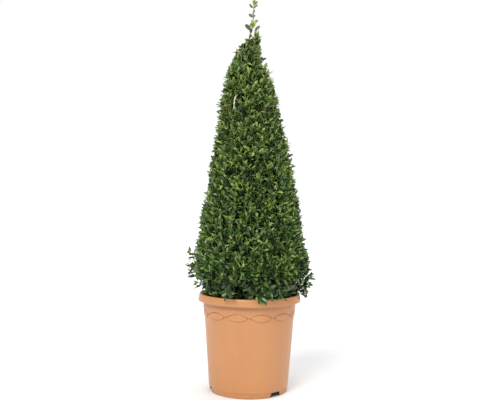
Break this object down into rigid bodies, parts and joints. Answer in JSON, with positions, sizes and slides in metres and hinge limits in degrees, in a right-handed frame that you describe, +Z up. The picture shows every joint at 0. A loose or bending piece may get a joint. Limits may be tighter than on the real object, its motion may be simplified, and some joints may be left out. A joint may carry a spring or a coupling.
{
  "type": "potted boxwood cone topiary",
  "caption": "Clipped evergreen shrub in a tall cone with a free leader, on a short trunk in a round tapered plastic nursery pot.",
  "frame": {"origin": "centre of the pot's flat underside", "axes": "+Z up the plant, -Y to the front, +X to the right seen from the front"},
  "size_m": [0.326, 0.304, 0.994],
  "materials": {
    "pot": "satin",
    "soil": "rough",
    "bark": "rough",
    "foliage": "satin leaves"
  },
  "bodies": {
    "root": {"pot": "pot", "potting_soil": "soil", "trunk": "bark", "side_leader": "bark", "bough_left": "bark", "bough_front": "bark", "bough_right": "bark", "bough_back": "bark", "foliage_cone": "foliage", "foliage_leader_low": "foliage", "foliage_leader_middle": "foliage", "foliage_leader_top": "foliage", "foliage_side_tuft": "foliage", "foliage_left_spray": "foliage", "foliage_right_spray": "foliage", "foliage_front_left_spray": "foliage", "foliage_front_right_spray": "foliage", "foliage_back_left_spray": "foliage", "foliage_back_right_spray": "foliage", "foliage_front_middle_spray": "foliage"}
  },
  "joints": []
}
